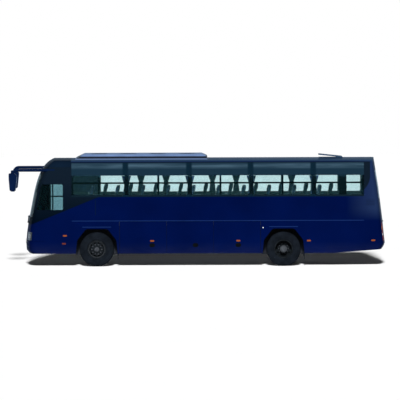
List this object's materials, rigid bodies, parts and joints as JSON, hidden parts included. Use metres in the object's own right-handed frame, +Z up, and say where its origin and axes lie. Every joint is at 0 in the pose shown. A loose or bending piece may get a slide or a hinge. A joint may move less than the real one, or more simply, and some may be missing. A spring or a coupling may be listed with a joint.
{
  "type": "coach bus",
  "caption": "Single-deck touring coach with a long dark window band, roof cooling pod, drop-arm mirrors, swing-out entry door, lifting luggage doors and steered front wheels.",
  "frame": {"origin": "on the ground, under the middle of the bounding box, which runs from the mirrors to the tail", "axes": "+X towards the tail, +Y towards the right-hand side, +Z up; the nose points to -X"},
  "size_m": [11.4998, 2.62, 3.404],
  "materials": {
    "body_paint": "gloss",
    "chassis_paint": "matte",
    "clear_glass": "gloss",
    "lamp_glass": "gloss",
    "red_lamp": "gloss",
    "rim_steel": "satin",
    "tyre_rubber": "matte",
    "axle_iron": "matte",
    "black_plastic": "matte",
    "floor_vinyl": "matte",
    "seat_cloth": "matte",
    "curtain_cloth": "matte"
  },
  "bodies": {
    "coach": {"front_frame": "chassis_paint", "rear_frame": "chassis_paint", "luggage_hold": "chassis_paint", "cabin_floor": "floor_vinyl", "wheel_housings": "black_plastic", "front_axle": "axle_iron", "rear_axle": "axle_iron", "leaf_springs": "axle_iron", "engine_block": "axle_iron", "front_mask": "body_paint", "windscreen": "clear_glass", "front_cap": "body_paint", "front_quarter_left": "body_paint", "front_quarter_right": "body_paint", "driver_window": "clear_glass", "side_wall_left": "body_paint", "side_wall_right": "body_paint", "side_glass": "clear_glass", "skirt_panels": "body_paint", "roof_panel": "body_paint", "rear_upper_panel": "body_paint", "rear_window": "clear_glass", "rear_lower_panel": "body_paint", "headlamps": "lamp_glass", "tail_lamps": "red_lamp", "ac_unit": "body_paint", "dashboard": "black_plastic", "steering_wheel": "black_plastic", "driver_seat": "seat_cloth", "passenger_seats": "seat_cloth", "luggage_racks": "floor_vinyl", "curtains": "curtain_cloth", "mirrors": "body_paint", "wipers": "black_plastic"},
    "knuckle_left": {"knuckle_left": "axle_iron"},
    "knuckle_right": {"knuckle_right": "axle_iron"},
    "tie_rod": {"tie_rod": "axle_iron"},
    "front_wheel_left": {"front_rim_left": "rim_steel", "front_tyre_left": "tyre_rubber"},
    "front_wheel_right": {"front_rim_right": "rim_steel", "front_tyre_right": "tyre_rubber"},
    "rear_wheels_left": {"rear_rims_left": "rim_steel", "rear_tyres_left": "tyre_rubber"},
    "rear_wheels_right": {"rear_rims_right": "rim_steel", "rear_tyres_right": "tyre_rubber"},
    "entry_door_arm": {"entry_door_arm": "rim_steel"},
    "entry_door": {"entry_door": "body_paint", "entry_door_glass": "clear_glass"},
    "luggage_door_left_1": {"luggage_door_left_1": "body_paint"},
    "luggage_door_left_2": {"luggage_door_left_2": "body_paint"},
    "luggage_door_left_3": {"luggage_door_left_3": "body_paint"},
    "luggage_door_right_1": {"luggage_door_right_1": "body_paint"},
    "luggage_door_right_2": {"luggage_door_right_2": "body_paint"},
    "luggage_door_right_3": {"luggage_door_right_3": "body_paint"},
    "engine_lid": {"engine_lid": "body_paint"},
    "roof_hatch": {"roof_hatch": "black_plastic"}
  },
  "joints": [
    {"name": "steer_left", "type": "hinge", "parent": "coach", "child": "knuckle_left", "pos_m": [-3.07, -0.955, 0.522], "axis": [0, 0, 1], "range_deg": [-40, 40]},
    {"name": "steer_right", "type": "hinge", "parent": "coach", "child": "knuckle_right", "pos_m": [-3.07, 0.955, 0.522], "axis": [0, 0, 1], "range_deg": [-40, 40]},
    {"name": "tie_rod_pivot", "type": "hinge", "parent": "knuckle_left", "child": "tie_rod", "pos_m": [-2.9, -0.955, 0.385], "axis": [0, 0, 1], "range_deg": [-41, 41]},
    {"name": "front_wheel_left_spin", "type": "hinge", "parent": "knuckle_left", "child": "front_wheel_left", "pos_m": [-3.07, -1.075, 0.522], "axis": [0, 1, 0], "continuous": true},
    {"name": "front_wheel_right_spin", "type": "hinge", "parent": "knuckle_right", "child": "front_wheel_right", "pos_m": [-3.07, 1.075, 0.522], "axis": [0, 1, 0], "continuous": true},
    {"name": "rear_wheels_left_spin", "type": "hinge", "parent": "coach", "child": "rear_wheels_left", "pos_m": [2.63, -1.075, 0.522], "axis": [0, 1, 0], "continuous": true},
    {"name": "rear_wheels_right_spin", "type": "hinge", "parent": "coach", "child": "rear_wheels_right", "pos_m": [2.63, 1.075, 0.522], "axis": [0, 1, 0], "continuous": true},
    {"name": "entry_arm_swing", "type": "hinge", "parent": "coach", "child": "entry_door_arm", "pos_m": [-4.535, 1.11, 1.5], "axis": [0, 0, 1], "range_deg": [0, 95]},
    {"name": "entry_door_pivot", "type": "hinge", "parent": "entry_door_arm", "child": "entry_door", "pos_m": [-4.015, 1.11, 1.5], "axis": [0, 0, 1], "range_deg": [-96, 1]},
    {"name": "luggage_door_left_1_lift", "type": "hinge", "parent": "coach", "child": "luggage_door_left_1", "pos_m": [-1.65333, -1.245, 1.367], "axis": [-1, 0, 0], "range_deg": [0, 90]},
    {"name": "luggage_door_left_2_lift", "type": "hinge", "parent": "coach", "child": "luggage_door_left_2", "pos_m": [-0.22, -1.245, 1.367], "axis": [-1, 0, 0], "range_deg": [0, 90]},
    {"name": "luggage_door_left_3_lift", "type": "hinge", "parent": "coach", "child": "luggage_door_left_3", "pos_m": [1.21333, -1.245, 1.367], "axis": [-1, 0, 0], "range_deg": [0, 90]},
    {"name": "luggage_door_right_1_lift", "type": "hinge", "parent": "coach", "child": "luggage_door_right_1", "pos_m": [-1.65333, 1.245, 1.367], "axis": [1, 0, 0], "range_deg": [0, 90]},
    {"name": "luggage_door_right_2_lift", "type": "hinge", "parent": "coach", "child": "luggage_door_right_2", "pos_m": [-0.22, 1.245, 1.367], "axis": [1, 0, 0], "range_deg": [0, 90]},
    {"name": "luggage_door_right_3_lift", "type": "hinge", "parent": "coach", "child": "luggage_door_right_3", "pos_m": [1.21333, 1.245, 1.367], "axis": [1, 0, 0], "range_deg": [0, 90]},
    {"name": "engine_lid_lift", "type": "hinge", "parent": "coach", "child": "engine_lid", "pos_m": [5.68, 0, 1.327], "axis": [0, -1, 0], "range_deg": [0, 75]},
    {"name": "roof_hatch_tilt", "type": "hinge", "parent": "coach", "child": "roof_hatch", "pos_m": [4.45, 0, 3.284], "axis": [0, 1, 0], "range_deg": [-6, 60]}
  ],
  "couplings": [
    {"joint": "steer_right", "follows": "steer_left", "ratio": 1},
    {"joint": "tie_rod_pivot", "follows": "steer_left", "ratio": -1},
    {"joint": "entry_door_pivot", "follows": "entry_arm_swing", "ratio": -1}
  ]
}
